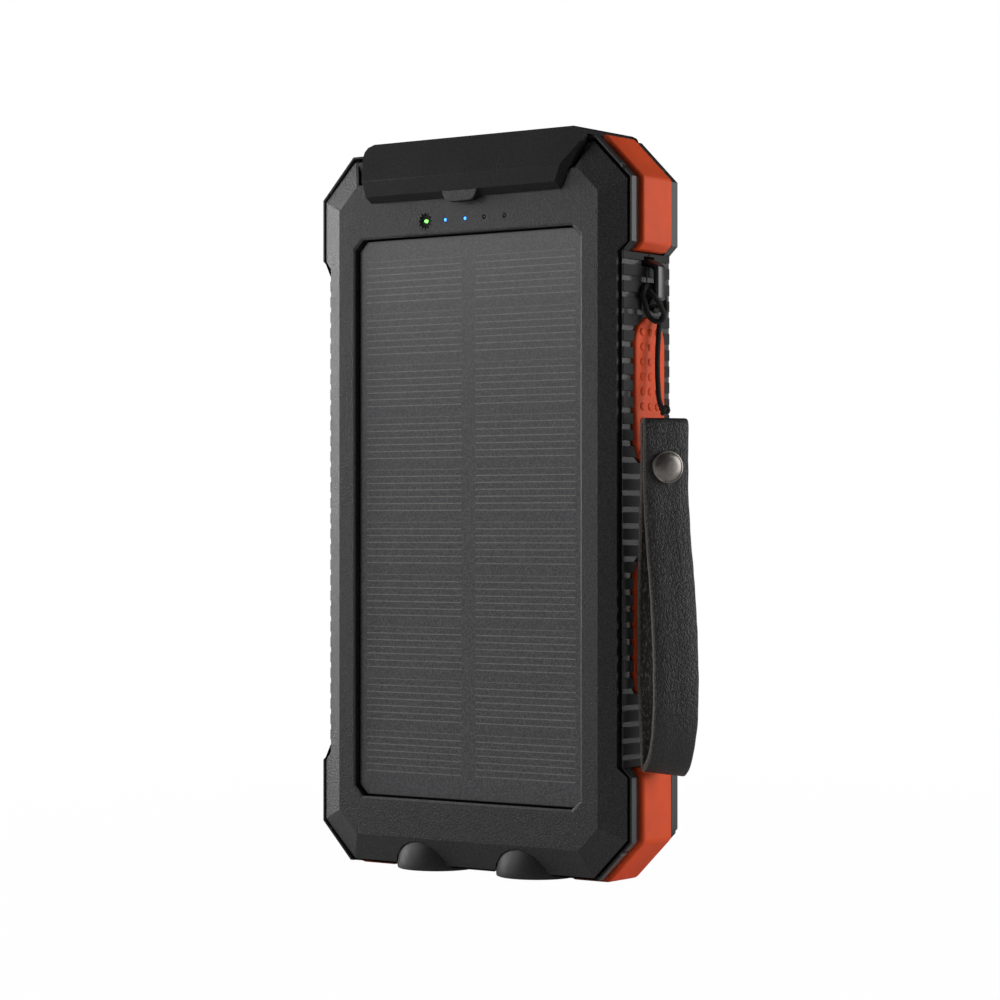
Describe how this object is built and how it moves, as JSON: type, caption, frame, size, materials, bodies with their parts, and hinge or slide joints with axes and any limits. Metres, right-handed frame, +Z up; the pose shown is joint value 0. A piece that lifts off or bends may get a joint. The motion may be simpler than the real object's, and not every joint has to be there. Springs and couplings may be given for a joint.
{
  "type": "solar power bank",
  "caption": "Rugged solar power bank with a port flap on top, ribbed sides, corner bumpers, a side button, torches at its foot and a leather wrist strap.",
  "frame": {"origin": "on the surface that it stands on, below the middle of the housing's bounding box", "axes": "+Z up from the torch end to the port flap, -Y out of the solar panel, +X towards the side with the power button and the strap lug"},
  "size_m": [0.0873, 0.0218, 0.1429],
  "materials": {
    "shell": "fine sparkle grain, satin",
    "frame": "satin",
    "panel": "clear coated solar cells",
    "seal": "matt",
    "red_rubber": "satin",
    "flap_rubber": "matt",
    "board": "solder mask",
    "steel": "plain",
    "nickel": "nickel plated",
    "dark_steel": "dark plated",
    "lug": "gloss black",
    "tongue": "plain",
    "reflector": "satin black outside",
    "lens": "clear",
    "torch_led": "phosphor yellow",
    "light_green": "lit green",
    "light_blue": "lit blue",
    "light_off": "unlit",
    "battery": "pouch foil",
    "foam": "open foam",
    "flex": "amber film",
    "leather": "black grain, rough cut edge",
    "cord": "twisted matt cord"
  },
  "bodies": {
    "housing": {"front_cover": "shell", "rear_cover": "shell", "front_frame": "frame", "rear_frame": "frame", "solar_panel": "panel", "front_seal": "seal", "rear_seal": "seal", "bumper_top_left": "red_rubber", "bumper_top_right": "red_rubber", "bumper_bottom_left": "red_rubber", "bumper_bottom_right": "red_rubber", "grip_inlay_right": "red_rubber", "grip_inlay_left_upper": "red_rubber", "grip_inlay_left_lower": "red_rubber", "button_board": "board", "main_board": "board", "torch_board": "board", "usb_port_left": "steel", "usb_port_right": "steel", "micro_usb_port": "steel", "power_switch": "steel", "flap_hinge_pin": "steel", "panel_terminal": "nickel", "battery_tab_negative": "nickel", "battery_tab_positive": "nickel", "rivet_cap": "dark_steel", "rivet_back": "dark_steel", "cover_screw_lower_left": "dark_steel", "cover_screw_lower_right": "dark_steel", "cover_screw_upper_left": "dark_steel", "cover_screw_upper_right": "dark_steel", "strap_lug": "lug", "usb_tongue_left": "tongue", "usb_tongue_right": "tongue", "torch_barrel_left": "reflector", "torch_barrel_right": "reflector", "torch_lens_left": "lens", "torch_lens_right": "lens", "torch_led_left": "torch_led", "torch_led_right": "torch_led", "indicator_light_1": "light_green", "indicator_light_2": "light_blue", "indicator_light_3": "light_blue", "indicator_light_4": "light_off", "indicator_light_5": "light_off", "battery_cell": "battery", "battery_foam": "foam", "torch_flex": "flex", "button_flex": "flex", "wrist_strap": "leather", "lanyard_cord": "cord", "cord_knot": "cord"},
    "flap": {"port_flap": "flap_rubber", "flap_seal": "seal"},
    "button": {"power_button": "red_rubber"}
  },
  "joints": [
    {"name": "flap_hinge", "type": "hinge", "parent": "housing", "child": "flap", "pos_m": [-0.00032, 0.00872, 0.14167], "axis": [-1, 0, 0], "range_deg": [0, 130]},
    {"name": "power_button_press", "type": "slide", "parent": "housing", "child": "button", "axis": [-1, 0, 0], "range_m": [0, 0.0006], "stiffness_N_per_m": 2500}
  ]
}
